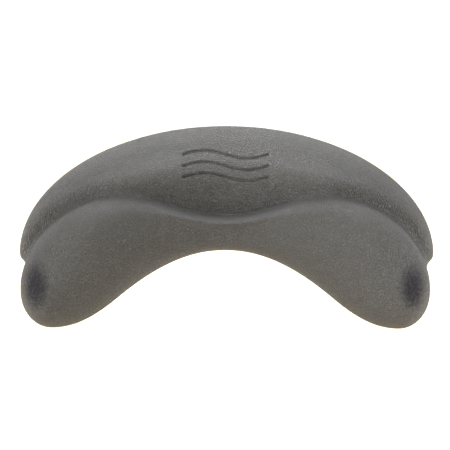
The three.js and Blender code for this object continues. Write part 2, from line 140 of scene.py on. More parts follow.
def object_from(name, points, faces):
    mesh = bpy.data.meshes.new(name)
    mesh.from_pydata([tuple(p) for p in points], [], faces)
    mesh.update()
    return new_object(name, mesh)


def modify(obj, kind, **settings):
    """Adds a modifier and applies it at once."""
    modifier = obj.modifiers.new(kind.lower(), kind)
    for name, value in settings.items():
        setattr(modifier, name, value)
    bpy.context.view_layer.update()
    evaluated = obj.evaluated_get(bpy.context.evaluated_depsgraph_get())
    made = bpy.data.meshes.new_from_object(evaluated)
    obj.modifiers.clear()
    old = obj.data
    obj.data = made
    bpy.data.meshes.remove(old)


def clean(mesh, slivers=False):
    """Joins points that fall together, takes out slivers if asked to, and turns every face outwards."""
    work = bmesh.new()
    work.from_mesh(mesh)
    bmesh.ops.remove_doubles(work, verts=work.verts, dist=1e-6)
    if slivers:
        bmesh.ops.dissolve_degenerate(work, edges=work.edges, dist=1e-7)
    bmesh.ops.recalc_face_normals(work, faces=work.faces)
    work.to_mesh(mesh)
    work.free()


def shade_smooth(obj, sharp_degrees=None):
    for face in obj.data.polygons:
        face.use_smooth = True
    if sharp_degrees is not None:
        obj.data.set_sharp_from_angle(angle=math.radians(sharp_degrees))
    return obj


def points_of(mesh):
    flat = np.empty(len(mesh.vertices) * 3)
    mesh.vertices.foreach_get("co", flat)
    return flat.reshape(-1, 3)


def set_points(mesh, points):
    mesh.vertices.foreach_set("co", points.ravel())
    mesh.update()


def edges_of(mesh):
    flat = np.empty(len(mesh.edges) * 2, dtype=np.int64)
    mesh.edges.foreach_get("vertices", flat)
    return flat.reshape(-1, 2)


def normals_of(mesh):
    flat = np.empty(len(mesh.vertices) * 3)
    mesh.vertices.foreach_get("normal", flat)
    return flat.reshape(-1, 3)


def relax(mesh, strength, rounds):
    """Moves points towards the middle of their neighbours. Strength is one number or one for each point."""
    points = points_of(mesh)
    edges = edges_of(mesh)
    count = len(points)
    neighbours = np.bincount(edges.ravel(), minlength=count).clip(min=1)[:, None]
    strength = np.broadcast_to(np.asarray(strength, dtype=float), (count,))[:, None]
    for _ in range(rounds):
        total = np.zeros_like(points)
        for axis in range(3):
            total[:, axis] += np.bincount(edges[:, 0], points[edges[:, 1], axis], count)
            total[:, axis] += np.bincount(edges[:, 1], points[edges[:, 0], axis], count)
        points += strength * (total / neighbours - points)
    set_points(mesh, points)


def mix(a, b, t):
    return a + (b - a) * t


def smooth_step(t):
    t = np.clip(t, 0, 1)
    return t * t * (3 - 2 * t)


def bezier(points, t):
    a, b, c, d = (np.array(p, dtype=float) for p in points)
    t = np.asarray(t, dtype=float)[..., None]
    s = 1 - t
    return s**3 * a + 3 * s**2 * t * b + 3 * s * t**2 * c + t**3 * d


def line_through(curves, steps):
    """Points along a chain of Bezier curves."""
    parts = [bezier(curve, np.linspace(0, 1, steps + 1)) for curve in curves]
    return np.vstack([parts[0]] + [part[1:] for part in parts[1:]])


def spaced(line, count):
    """Points at even distances along a line, both ends included."""
    lengths = np.concatenate([[0], np.cumsum(np.linalg.norm(np.diff(line, axis=0), axis=1))])
    places = np.linspace(0, lengths[-1], count)
    return np.stack([np.interp(places, lengths, line[:, k]) for k in range(line.shape[1])], axis=1)


def mirrored(line):
    return line[::-1] * np.array([-1, 1])


# ----------------------------------------------------------------------------------------------------------
# The pillow's form
# ----------------------------------------------------------------------------------------------------------


def collar_value(column, angle):
    """A property of the collar's section at an angle from 0 to 180 degrees."""
    folded = 180 - angle if angle > 90 else max(0, angle)
    last = len(COLLAR_SECTIONS) - 1
    i = min(last - 1, max(k for k, section in enumerate(COLLAR_SECTIONS) if section[ANGLE] <= folded))

    def at(k):
        return COLLAR_SECTIONS[2 * last - k if k > last else max(0, k)]

    a, b = at(i), at(i + 1)
    span = b[ANGLE] - a[ANGLE]
    t = (folded - a[ANGLE]) / span
    before = a[ANGLE] - at(i - 1)[ANGLE] if i > 0 else span
    after = at(i + 2)[ANGLE] - b[ANGLE] if i + 1 < last else span
    slope_a = (b[column] - at(i - 1)[column]) / (before + span) * span
    slope_b = (at(i + 2)[column] - a[column]) / (after + span) * span
    return (
        (2 * t**3 - 3 * t**2 + 1) * a[column]
        + (t**3 - 2 * t**2 + t) * slope_a
        + (3 * t**2 - 2 * t**3) * b[column]
        + (t**3 - t**2) * slope_b
    )


def softened(corners, steps):
    """A closed line through corners, each given with how far before it its curve starts."""
    line = []
    for i, (corner, soft) in enumerate(corners):
        corner = np.array(corner, dtype=float)
        if not soft:
            line.append(corner)
            continue
        ends = []
        for other, _ in (corners[i - 1], corners[(i + 1) % len(corners)]):
            far = np.array(other, dtype=float) - corner
            length = np.linalg.norm(far)
            ends.append(corner + far / length * min(soft, 0.45 * length))
        for t in np.linspace(0, 1, steps):
            line.append((1 - t) ** 2 * ends[0] + 2 * t * (1 - t) * corner + t**2 * ends[1])
    return np.array(line)


def ellipse_point(angle):
    turn = math.radians(angle)
    x = COLLAR["half_width"] * math.cos(turn)
    return np.array([x, COLLAR["base_z"] + COLLAR["rise"] * math.sin(turn)])


def ellipse_inwards(angle):
    turn = math.radians(angle)
    way = np.array([-math.cos(turn) / COLLAR["half_width"], -math.sin(turn) / COLLAR["rise"]])
    return way / np.linalg.norm(way)


def collar_loop(angle, beyond=0.0, thinning=0.0):
    """The collar's section at an angle, as x, y, z points."""
    valley_in = collar_value(VALLEY_IN, angle)
    crest_depth = collar_value(CREST_DEPTH, angle)
    valley_depth = collar_value(VALLEY_DEPTH, angle)
    inner = valley_in + COLLAR["overlap"]
    section = softened(
        (
            ((BACK_EDGE, 0), 0),
            ((0, BACK_EDGE), COLLAR_SOFT["back"]),
            ((0, COLLAR["rim_depth"]), COLLAR_SOFT["rim"]),
            ((collar_value(CREST_IN, angle), crest_depth), COLLAR_SOFT["crest"]),
            ((valley_in, valley_depth), COLLAR_SOFT["valley"]),
            ((inner, valley_depth), 0),
            ((inner, 0), 0),
        ),
        9,
    )
    edge = ellipse_point(angle) - np.array([0, beyond])
    inwards = ellipse_inwards(angle)
    across, depth = section[:, 0], section[:, 1]
    across = inner - (inner - across) * (1 - thinning / inner)
    depth = np.where(depth > BACK_EDGE, depth - thinning * depth / crest_depth, depth)
    places = edge + across[:, None] * inwards
    return np.stack([places[:, 0], -depth, places[:, 1]], axis=1)


def collar():
    radius = COLLAR["tip"]
    tip = []
    for turn in range(90, 0, -15):
        angle = math.radians(turn)
        tip.append((radius * math.sin(angle), radius * (1 - math.cos(angle))))
    loops = [collar_loop(0, beyond, thinning) for beyond, thinning in tip]
    loops += [collar_loop(angle) for angle in np.arange(0, 180.1, 1.5)]
    loops += [collar_loop(180, beyond, thinning) for beyond, thinning in reversed(tip)]
    return loft("collar", loops, capped=True)


def loft(name, loops, capped=False):
    """A closed mesh through loops with the same number of points."""
    count = len(loops[0])
    points = [tuple(MM * c for c in p) for loop in loops for p in loop]
    faces = []
    for k in range(len(loops) - 1):
        for i in range(count):
            j = (i + 1) % count
            faces.append((k * count + i, k * count + j, (k + 1) * count + j, (k + 1) * count + i))
    if capped:
        faces.append(tuple(reversed(range(count))))
        faces.append(tuple(range((len(loops) - 1) * count, len(loops) * count)))
    obj = object_from(name, points, faces)
    clean(obj.data)
    return obj


def wing_ribs(count, fan):
    """Points on the wings' outline, and the points on the spine that their ribs start from."""
    top = line_through(WING_OUTLINE[:2], 200)
    bottom = line_through(WING_OUTLINE[3:], 200)[::-1]
    spine = line_through((WING_SPINE,), 200)
    tip = spine[-1]
    across = np.linspace(0, tip[0], count + 1)
    roots = np.stack([across, np.interp(across, spine[:, 0], spine[:, 1])], axis=1)
    over = np.stack([across, np.interp(across, top[:, 0], top[:, 1])], axis=1)
    under = np.stack([across, np.interp(across, bottom[:, 0], bottom[:, 1])], axis=1)
    around = spaced(line_through(WING_OUTLINE[1:4], 200), 4 * fan)
    around = around[around[:, 0] > tip[0] + 0.5]
    edges = np.vstack([over, around, under[::-1]])
    starts = np.vstack([roots, np.repeat(tip[None], len(around), axis=0), roots[::-1]])
    flip = np.array([-1, 1])
    edges = np.vstack([edges, edges[-2:0:-1] * flip])
    starts = np.vstack([starts, starts[-2:0:-1] * flip])
    return edges, starts


def by_facing(values, facing):
    """A value that depends on which way the edge faces."""
    upright = np.where(facing[:, 1] > 0, values["up"], values["down"])
    return mix(values["side"], upright, facing[:, 1] ** 2)


def wings():
    edges, starts = wing_ribs(count=60, fan=24)
    along = np.roll(edges, -1, axis=0) - np.roll(edges, 1, axis=0)
    facing = np.stack([-along[:, 1], along[:, 0]], axis=1)
    facing /= np.linalg.norm(facing, axis=1)[:, None]
    reach = np.linalg.norm(starts - edges, axis=1)
    wall = by_facing(WING_WALL, facing)
    on_lobes = smooth_step(np.abs(edges[:, 0]) / BRIDGE_EDGE["half_width"])
    bridge_edge = np.where(facing[:, 1] > 0, BRIDGE_EDGE["up"], BRIDGE_EDGE["down"])
    power = 2 / mix(bridge_edge, by_facing(WING_EDGE, facing), on_lobes)
    span = WING_DEPTH["to"] - WING_DEPTH["from"]

    def loop(inwards, share=None, depth=0.0):
        places = mix(edges, starts, np.broadcast_to(inwards, reach.shape)[:, None])
        front = mix(
            WING_DEPTH["bridge"],
            WING_DEPTH["lobe"],
            smooth_step((np.abs(places[:, 0]) - WING_DEPTH["from"]) / span),
        )
        if share is not None:
            from_bead = (inwards * reach - BEAD["below"]) / BEAD["width"]
            bead = BEAD["height"] * np.exp(-(from_bead**2)) * (1 - on_lobes) * (facing[:, 1] > 0)
            depth = share * (front + bead)
        return np.stack([places[:, 0], -np.broadcast_to(depth, reach.shape), places[:, 1]], axis=1)

    # The flat back, the roll at its edge, the wall, and the rounded front.
    loops = [loop(1.0)]
    for turn in range(90, -1, -15):
        angle = math.radians(turn)
        rolled = BACK_EDGE * (1 - math.cos(angle))
        loops.append(loop(rolled / reach, depth=BACK_EDGE * (1 - math.sin(angle))))
    loops += [loop(0.0, share * wall) for share in (0.3, 0.6)]
    for turn in np.linspace(0, 90, 25):
        rise = math.sin(math.radians(turn)) ** power
        fall = math.cos(math.radians(turn)) ** power if turn < 90 else 0 * power
        loops.append(loop(1 - fall, mix(wall, 1.0, rise)))
    return loft("wings", loops)


def outlines():
    """The collar's outer edge, the collar's whole outline and the wings', as seen from the front."""
    beyond = np.array([0, COLLAR["tip"]])
    outer = np.array([ellipse_point(angle) for angle in np.arange(0, 180.1, 1)])
    outer = np.vstack([outer[0] - beyond, outer, outer[-1] - beyond])
    inner = []
    for angle in np.arange(180, -0.1, -1):
        across = collar_value(VALLEY_IN, angle) + COLLAR["overlap"]
        inner.append(ellipse_point(angle) + across * ellipse_inwards(angle))
    half = line_through(WING_OUTLINE, 60)
    return outer, np.vstack([outer, inner]), np.vstack([half, mirrored(half)[1:-1]])


def distance_to_line(places, line, closed):
    """Each place's distance to a line of points."""
    ends = np.roll(line, -1, axis=0) if closed else line[1:]
    starts = line if closed else line[:-1]
    best = np.full(len(places), np.inf)
    for a, b in zip(starts, ends):
        ab = b - a
        t = np.clip((places - a) @ ab / max(ab @ ab, 1e-12), 0, 1)
        best = np.minimum(best, np.linalg.norm(places - a - t[:, None] * ab, axis=1))
    return best


def inside(places, polygon):
    crossings = np.zeros(len(places), dtype=int)
    for a, b in zip(polygon, np.roll(polygon, -1, axis=0)):
        spans = (a[1] > places[:, 1]) != (b[1] > places[:, 1])
        if a[1] != b[1]:
            at = a[0] + (places[:, 1] - a[1]) * (b[0] - a[0]) / (b[1] - a[1])
            crossings += spans & (places[:, 0] < at)
    return crossings % 2 == 1


def depth_in_outline(places):
    """How far inside the pillow's front outline each x, z place is, in millimetres."""
    outer, collar_area, wing_area = outlines()
    tips = np.vstack([outer[:1], outer, outer[-1:]])
    tips[0, 0] -= COLLAR["overlap"]
    tips[-1, 0] += COLLAR["overlap"]
    in_collar = np.where(inside(places, collar_area), distance_to_line(places, tips, closed=False), -1)
    in_wings = np.where(inside(places, wing_area), distance_to_line(places, wing_area, closed=True), -1)
    return np.maximum(in_collar, in_wings)


def valley_distance(points):
    """How far each point is from the crease between the collar and the wings, in millimetres."""
    crease = line_through(WING_OUTLINE[:2], 40)
    crease = np.vstack([mirrored(crease)[:-1], crease])
    return distance_to_line(points[:, [0, 2]] / MM, crease, closed=False)


def closed_form():
    """The whole pillow as one closed, softened surface."""
    body = collar()
    other = wings()
    joined = bmesh.new()
    joined.from_mesh(body.data)
    joined.from_mesh(other.data)
    joined.to_mesh(body.data)
    joined.free()
    bpy.data.objects.remove(other)
    modify(body, "REMESH", mode="VOXEL", voxel_size=VOXEL * MM, adaptivity=0)
    mesh = body.data
    points = points_of(mesh)
    distance = valley_distance(points)
    on_lobes = smooth_step(np.abs(points[:, 0]) / (CREASE["softest"] * MM))
    near_crease = np.exp(-((distance / CREASE["reach"]) ** 2)) * (points[:, 1] < -BACK_EDGE * MM)
    # First all over, then more except at the crease's middle, then most along the crease on the lobes.
    relax(mesh, 0.5, rounds=2)
    relax(mesh, 0.5 * (1 - near_crease * (1 - on_lobes)), rounds=3)
    relax(mesh, 0.5 * near_crease * on_lobes, rounds=16)
    points = points_of(mesh)
    flat = (points[:, 1] > -NEARLY_FLAT * MM) & (depth_in_outline(points[:, [0, 2]] / MM) > BACK_EDGE)
    points[flat, 1] = 0
    set_points(mesh, points)
    return body


# ----------------------------------------------------------------------------------------------------------
# Pieces
# ----------------------------------------------------------------------------------------------------------


def open_back(skin):
    """Cuts the back skin's place out of the flat back, and gives the hole a clean edge."""
    mesh = skin.data
    edge = BACK_EDGE + LIP
    points = points_of(mesh)
    on_back = points[:, 1] > -0.01 * MM
    depth = np.full(len(points), -1.0)
    depth[on_back] = depth_in_outline(points[on_back][:, [0, 2]] / MM)
    work = bmesh.new()
    work.from_mesh(mesh)
    work.verts.ensure_lookup_table()
    gone = [v for v in work.verts if depth[v.index] > edge]
    bmesh.ops.delete(work, geom=gone, context="VERTS")
    work.to_mesh(mesh)
    rim = [v.index for v in work.verts if v.is_boundary]
    work.free()
    points = points_of(mesh)
    places = points[rim][:, [0, 2]] / MM
    step = 0.05
    # A few Newton steps put the hole's edge at an even distance from the pillow's outline.
    for _ in range(6):
        here = depth_in_outline(places)
        slope = np.stack(
            [(depth_in_outline(places + np.array(d)) - here) / step for d in ((step, 0), (0, step))],
            axis=1,
        )
        size = np.maximum((slope**2).sum(axis=1), 0.2)[:, None]
        places += np.clip((edge - here)[:, None] * slope / size, -1, 1)
    points[rim, 0] = places[:, 0] * MM
    points[rim, 2] = places[:, 1] * MM
    set_points(mesh, points)


def wave_depth(places):
    """How deep the pressed wave lines are at x, z places, from 0 to 1."""
    half_length = WAVES["half_length"]
    t = np.linspace(0, 1, 60)
    pressed = np.zeros(len(places))
    for i in range(WAVES["count"]):
        height = WAVES["low"] + i * WAVES["spacing"] + WAVES["swing"] * np.sin(2 * math.pi * t)
        line = np.stack([half_length * (2 * t - 1), height], axis=1)
        from_edge = WAVE_GROOVE["width"] / 2 - distance_to_line(places, line, closed=False)
        pressed = np.maximum(pressed, smooth_step(0.5 + from_edge / WAVE_GROOVE["slope"]))
    return pressed


def press_waves(skin):
    """Refines the middle of the collar's outer surface and presses the wave lines into it."""
    mesh = skin.data
    margin = 4  # of the finer patch round the waves
    beyond, fade = 3, 4  # the patch is smoothed from this far outside it, and fully after this much more
    top = WAVES["low"] + (WAVES["count"] - 1) * WAVES["spacing"] + WAVES["swing"] + margin
    bottom = WAVES["low"] - WAVES["swing"] - margin
    side = WAVES["half_length"] + margin

    def in_patch(vertex):
        x, y, z = vertex.co / MM
        return abs(x) < side and bottom < z < top and y < -BACK_EDGE and vertex.normal.y < 0

    work = bmesh.new()
    work.from_mesh(mesh)
    patch = [e for e in work.edges if all(in_patch(v) for v in e.verts)]
    bmesh.ops.subdivide_edges(work, edges=patch, cuts=3, use_grid_fill=True)
    work.to_mesh(mesh)
    work.free()
    points = points_of(mesh)
    x, y, z = (points / MM).T
    from_side = np.minimum.reduce([side - np.abs(x), z - bottom, top - z])
    in_region = (y < -BACK_EDGE) & (from_side > -beyond) & (normals_of(mesh)[:, 1] < 0)
    relax(mesh, np.where(in_region, 0.5 * smooth_step((from_side + beyond) / fade), 0), rounds=14)
    points = points_of(mesh)
    pressed = np.zeros(len(points))
    pressed[in_region] = wave_depth(points[in_region][:, [0, 2]] / MM)
    points -= WAVE_GROOVE["depth"] * MM * pressed[:, None] * normals_of(mesh)
    set_points(mesh, points)
    mesh.attributes.new("pressed", "FLOAT", "POINT").data.foreach_set("value", pressed)


def front_skin(skin):
    """Makes the open surface into a skin with a thickness, and presses the waves into it."""
    modify(skin, "SOLIDIFY", thickness=SKIN * MM, offset=-1, use_rim=True)
    press_waves(skin)
    return shade_smooth(skin, sharp_degrees=70)


def ordered_rim(obj):
    """The hole's edge in the open back of the skin, as x, z points in order."""
    work = bmesh.new()
    work.from_mesh(obj.data)
    edges = {}
    for edge in work.edges:
        if edge.is_boundary:
            a, b = edge.verts
            edges.setdefault(a.index, []).append(b.index)
            edges.setdefault(b.index, []).append(a.index)
    start = next(iter(edges))
    line = [start]
    before = None
    while True:
        here = line[-1]
        onward = next(k for k in edges[here] if k != before)
        if onward == start:
            break
        before = here
        line.append(onward)
    work.verts.ensure_lookup_table()
    places = np.array([work.verts[k].co for k in line])[:, [0, 2]]
    work.free()
    return places


def flat_plate(name, rings, low, high, bevel):
    """A plate across Y, between two Y values, from a closed outline and the outlines of its holes."""
    curve = bpy.data.curves.new(name, "CURVE")
    curve.dimensions = "2D"
    curve.fill_mode = "BOTH"
    for ring in rings:
        spline = curve.splines.new("POLY")
        spline.points.add(len(ring) - 1)
        spline.points.foreach_set("co", [c for x, z in ring for c in (x, z, 0, 1)])
        spline.use_cyclic_u = True
    curve.extrude = (high - low) / 2 - bevel
    curve.bevel_depth = bevel
    curve.bevel_resolution = 2
    curve.offset = -bevel
    shape = bpy.data.objects.new(name, curve)
    bpy.context.scene.collection.objects.link(shape)
    bpy.context.view_layer.update()
    mesh = bpy.data.meshes.new_from_object(shape.evaluated_get(bpy.context.evaluated_depsgraph_get()))
    bpy.data.objects.remove(shape)
    mesh.transform(Matrix.Translation((0, (low + high) / 2, 0)) @ Matrix.Rotation(math.radians(90), 4, "X"))
    plate = new_object(name, mesh)
    clean(mesh)
    return shade_smooth(plate, sharp_degrees=40)


def circle(middle, radius, steps):
    turns = np.linspace(0, 2 * math.pi, steps, endpoint=False)
    return np.stack([middle[0] + radius * np.cos(turns), middle[1] + radius * np.sin(turns)], axis=1)


def peg_places():
    """Each peg's name and its axis' x and z, in metres, from the CAD nodes."""
    found = {}
    for side in ("left", "centre", "right"):
        low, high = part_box(f"peg_{side}")
        found[side] = ((low.x + high.x) / 2, (low.z + high.z) / 2)
    return found


def back_skin(rim):
    """The smooth skin that fills the front skin's open back, with a round hole for each peg's flange."""
    along = np.roll(rim, -1, axis=0) - np.roll(rim, 1, axis=0)
    outwards = np.stack([along[:, 1], -along[:, 0]], axis=1)
    outwards /= np.linalg.norm(outwards, axis=1)[:, None]
    area = 0.5 * np.sum(rim[:, 0] * np.roll(rim[:, 1], -1) - np.roll(rim[:, 0], -1) * rim[:, 1])
    outline = rim - np.sign(area) * GAP * MM * outwards
    flange = (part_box("peg_left")[1].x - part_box("peg_left")[0].x) / 2
    holes = [circle(place, flange + GAP * MM, steps=72) for place in peg_places().values()]
    return flat_plate("back_skin_panel", [outline] + holes, low=-SKIN * MM, high=0, bevel=0.25 * MM)


def foam(form):
    """The core: the form moved in by the skin's thickness, with the CAD core's pocket for the plate."""
    core = new_object("foam_body", form.data.copy())
    mesh = core.data
    points = points_of(mesh)
    points -= (SKIN + 1.5 * GAP) * MM * normals_of(mesh)
    set_points(mesh, points)
    modify(core, "REMESH", mode="VOXEL", voxel_size=FOAM_VOXEL * MM)
    relax(core.data, 0.5, rounds=2)
    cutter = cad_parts["foam_core"]
    modify(core, "BOOLEAN", operation="INTERSECT", object=cutter, solver="EXACT")
    return shade_smooth(core, sharp_degrees=50)


def lathe(name, profile, steps):
    """A solid turned about the Y axis from a closed profile of radius, y points in millimetres."""
    points = []
    faces = []
    for k in range(steps):
        turn = 2 * math.pi * k / steps
        points += [(r * MM * math.cos(turn), y * MM, r * MM * math.sin(turn)) for r, y in profile]
    count = len(profile)
    for k in range(steps):
        for i in range(count):
            j = (i + 1) % count
            m = (k + 1) % steps
            faces.append((k * count + i, k * count + j, m * count + j, m * count + i))
    obj = object_from(name, points, faces)
    clean(obj.data, slivers=True)
    return obj


def block(low, high):
    """A block between two corners in millimetres."""
    ends = [(a * MM, b * MM) for a, b in zip(low, high)]
    corners = [(x, y, z) for x in ends[0] for y in ends[1] for z in ends[2]]
    faces = [(0, 1, 3, 2), (4, 6, 7, 5), (0, 4, 5, 1), (2, 3, 7, 6), (0, 2, 6, 4), (1, 5, 7, 3)]
    return object_from("block", corners, faces)


def cut_cross(obj, half, reach, low, high):
    """Cuts two crossed slots along the Y axis, between two Y values."""
    for across, upright in ((reach, half), (half, reach)):
        cutter = block((-across, low, -upright), (across, high, upright))
        modify(obj, "BOOLEAN", operation="DIFFERENCE", object=cutter, solver="EXACT")
        bpy.data.objects.remove(cutter)


def place_at(obj, place):
    obj.data.transform(Matrix.Translation((place[0], 0, place[1])))
    return obj


def peg(side, place):
    """A barbed peg: a flange flush with the back, a hollow stem, and barbs that crossed slots close up."""
    flange = [(2.2, -2), (13.6, -2), (14, -1.7), (14, -0.5), (13.85, -0.15), (13.5, 0), (8.5, 0)]
    relief = [(8.2, -0.12), (7.6, -0.7), (7.2, -0.8), (6.3, -0.8), (5.8, -0.6), (5.5, -0.1)]
    barb = [(5.5, -0.25), (5.65, 0), (6.65, 0.35), (6.8, 0.5), (6.76, 0.75), (5.62, 3.1)]
    cup = [(4.9, 15.6), (4.6, 15.95), (4.3, 16), (4, 15.8), (4, 1.8), (3.7, 1.5), (2.2, 1.5)]
    barbs = [(r, start + y) for start in (5, 8.6, 12.2) for r, y in barb]
    profile = flange + relief + barbs[:-1] + cup
    made = lathe(f"peg_{side}_body", profile, steps=72)
    cut_cross(made, half=0.8, reach=8, low=4.2, high=20)
    return shade_smooth(place_at(made, place), sharp_degrees=35)


def washer(side, place):
    profile = [(2.25, 1.8), (3.6, 1.8), (3.7, 1.9), (3.7, 2.5), (3.6, 2.6), (2.25, 2.6)]
    made = lathe(f"peg_washer_{side}_ring", profile, steps=64)
    return shade_smooth(place_at(made, place), sharp_degrees=35)


def screw(side, place):
    """A pan-head screw with a crossed recess and ridges for its thread."""
    head = [(0.02, 5.25), (1, 5.22), (2, 5.05), (2.8, 4.7), (3.35, 4.1), (3.6, 3.5), (3.6, 3), (3.5, 2.9)]
    shank = [(1.9, 2.9), (1.9, 1.6)]
    pitch, crest, root = 1.1, 1.9, 1.35
    for y in np.arange(1.4, -10.4, -pitch):
        shank += [(root, y), (crest, y - pitch / 2)]
    shank += [(0.9, -12.4), (0.02, -14.1)]
    made = lathe(f"peg_screw_{side}_body", head + shank, steps=48)
    cut_cross(made, half=0.42, reach=1.85, low=3.9, high=7)
    return shade_smooth(place_at(made, place), sharp_degrees=35)


# ----------------------------------------------------------------------------------------------------------
# Materials
# ----------------------------------------------------------------------------------------------------------


class Shader:
    """A material's nodes, with short calls to add and join them."""

    def __init__(self, name):
        self.material = bpy.data.materials.new(name)
        self.material.use_nodes = True
        self.nodes = self.material.node_tree.nodes
        self.links = self.material.node_tree.links
        self.surface = self.nodes["Principled BSDF"]
        coordinates = self.nodes.new("ShaderNodeTexCoord")
        self.place = coordinates.outputs["Object"]
        self.facing = coordinates.outputs["Normal"]

    def add(self, kind, inputs=None, **settings):
        node = self.nodes.new("ShaderNode" + kind)
        for name, value in settings.items():
            setattr(node, name, value)
        for name, value in (inputs or {}).items():
            self.feed(node.inputs[name], value)
        return node

    def feed(self, socket, value):
        if isinstance(value, bpy.types.NodeSocket):
            self.links.new(value, socket)
        else:
            socket.default_value = value

    def noise(self, scale, detail=3, roughness=0.5, vector=None, output="Fac"):
        inputs = {"Scale": scale, "Detail": detail, "Roughness": roughness}
        inputs["Vector"] = self.place if vector is None else vector
        return self.add("TexNoise", inputs).outputs[output]

    def cells(self, scale, vector=None, feature="F1", smoothness=0.0):
        inputs = {"Scale": scale, "Vector": self.place if vector is None else vector}
        if feature == "SMOOTH_F1":
            inputs["Smoothness"] = smoothness
        return self.add("TexVoronoi", inputs, feature=feature).outputs["Distance"]

    def math(self, operation, *values):
        node = self.add("Math", operation=operation)
        for socket, value in zip(node.inputs, values):
            self.feed(socket, value)
        return node.outputs[0]

    def product(self, *values):
        result = values[0]
        for value in values[1:]:
            result = self.math("MULTIPLY", result, value)
        return result

    def weighted(self, *terms):
        """The sum of values, each times its weight."""
        result = 0
        for weight, value in terms:
            result = self.math("MULTIPLY_ADD", value, weight, result)
        return result

    def between(self, value, places, to_low=0.0, to_high=1.0, smooth=True):
        """A change from one value to another between two places, given in millimetres."""
        return self.remap(value, places[0] * MM, places[1] * MM, to_low, to_high, smooth)

    def squeezed(self, vector, share):
        """Places squeezed on Z, which makes a pattern taller."""
        return self.add("Mapping", {"Vector": vector, "Scale": (1.0, 1.0, share)}).outputs[0]

    def remap(self, value, low, high, to_low=0.0, to_high=1.0, smooth=False):
        inputs = {"Value": value, "From Min": low, "From Max": high, "To Min": to_low, "To Max": to_high}
        kind = "SMOOTHSTEP" if smooth else "LINEAR"
        return self.add("MapRange", inputs, interpolation_type=kind).outputs["Result"]

    def blend_colours(self, share, a, b, how="MIX"):
        node = self.add("Mix", data_type="RGBA", blend_type=how)
        self.feed(node.inputs[0], share)
        self.feed(node.inputs[6], a)
        self.feed(node.inputs[7], b)
        return node.outputs[2]

    def bump(self, height, distance, strength, normal=None):
        inputs = {"Height": height, "Distance": distance, "Strength": strength}
        if normal is not None:
            inputs["Normal"] = normal
        return self.add("Bump", inputs).outputs["Normal"]

    def finish(self, **inputs):
        for name, value in inputs.items():
            self.feed(self.surface.inputs[name.replace("_", " ")], value)
        return self.material


def grey(level, warmth=0.0):
    """A grey as linear red, green, blue and alpha. Warmth lifts red and lowers blue."""
    return (level * (1 + warmth), level, level * (1 - 1.6 * warmth), 1)


def grain_strength(look):
    """How fresh the skin is away from where heads rest, and how strong its grain is, both from 0 to 1."""
    across, back, up = look.add("SeparateXYZ", {"Vector": look.place}).outputs
    rise = look.add("SeparateXYZ", {"Vector": look.facing}).outputs[2]
    facing_up = look.remap(rise, 0.25, 0.6, smooth=True)
    on_bridge = look.between(look.math("ABSOLUTE", across), BRIDGE_FADE, 1.0, 0.0)
    on_ridge = look.product(facing_up, on_bridge, look.between(up, BRIDGE_TOP, 1.0, 0.0, smooth=False))
    fresh = look.between(back, FRONT_FADE)
    rim = look.between(back, RIM_FADE, 1.0, 0.4)
    top = look.between(up, TOP_FADE, 1.0, 0.58)
    heads = look.remap(fresh, 0, 1, 0.75, 1.0)
    ridge = look.remap(on_ridge, 0, 1, 1.0, 0.35)
    return fresh, look.product(heads, rim, top, ridge)


def grained_skin():
    """Soft moulded skin with a leather grain: pebbles with creases between them, over upright wrinkles."""
    look = Shader("grained_skin")
    wander = look.add("VectorMath", operation="MULTIPLY_ADD")
    look.feed(wander.inputs[0], look.noise(220, 2, output="Color"))
    look.feed(wander.inputs[1], (0.003, 0.003, 0.003))
    look.feed(wander.inputs[2], look.place)
    bent = wander.outputs[0]
    drawn = look.squeezed(bent, 0.6)
    creases = look.remap(look.cells(GRAIN, drawn, "DISTANCE_TO_EDGE"), 0.0, 0.25, smooth=True)
    domes = look.remap(look.cells(GRAIN, drawn, "SMOOTH_F1", 0.35), 0.0, 0.75, 1.0, 0.0)
    wrinkles = look.noise(GRAIN, 2, 0.6, look.squeezed(bent, 0.35))
    fine = look.noise(3000, 3, 0.6)
    grit = look.noise(GRAIN * 1.8, 2, 0.6, drawn)
    fresh, strength = grain_strength(look)

    # A soft unevenness, and over it the grain.
    height = look.weighted((0.6, creases), (0.5, domes), (0.2, fine), (1.7, wrinkles))
    normal = look.bump(look.noise(45, 3, 0.5), 0.0006, 0.25)
    normal = look.bump(look.product(height, strength), 0.002, 1.0, normal)

    # Cloudy grey, a little darker towards the front, then light and dark grit, then darker in the grain's
    # creases, then painted shade in the pressed waves, then the patches of painted shade.
    level = look.blend_colours(fresh, grey(SKIN_LEVEL), grey(SKIN_LEVEL * 1.08))
    mottle = look.blend_colours(look.remap(look.noise(70, 5, 0.6), 0.3, 0.7), grey(1.0), grey(1.06, 0.01))
    mottled = look.blend_colours(1.0, level, mottle, "MULTIPLY")
    speckle = look.blend_colours(look.remap(grit, 0.35, 0.65), grey(0.56), grey(1.46))
    contrast = look.product(strength, strength, look.remap(fresh, 0, 1, 0.8, 1.0))
    mottled = look.blend_colours(contrast, mottled, look.blend_colours(1.0, mottled, speckle, "MULTIPLY"))
    colour = look.blend_colours(look.remap(creases, 0, 1, 0.3, 0.0), mottled, grey(0.35 * SKIN_LEVEL))
    # Painted shade in the wave grooves: darker where they are pressed deeper.
    groove_shade = look.math("MULTIPLY", look.add("Attribute", attribute_name="pressed").outputs["Fac"], 0.3)
    colour = look.blend_colours(groove_shade, colour, grey(0.25 * SKIN_LEVEL))
    # Painted shade: a dark patch at each lobe's outer end.
    colour = look.blend_colours(shade_patch(look), colour, SHADE_PATCH_COLOUR)

    unevenness = look.remap(look.noise(120, 4), 0.3, 0.7, -0.04, 0.04)
    roughness = look.math("ADD", look.remap(creases, 0, 1, 0.66, 0.52), unevenness)
    return look.finish(Base_Color=colour, Roughness=roughness, Normal=normal, Specular_IOR_Level=0.35)


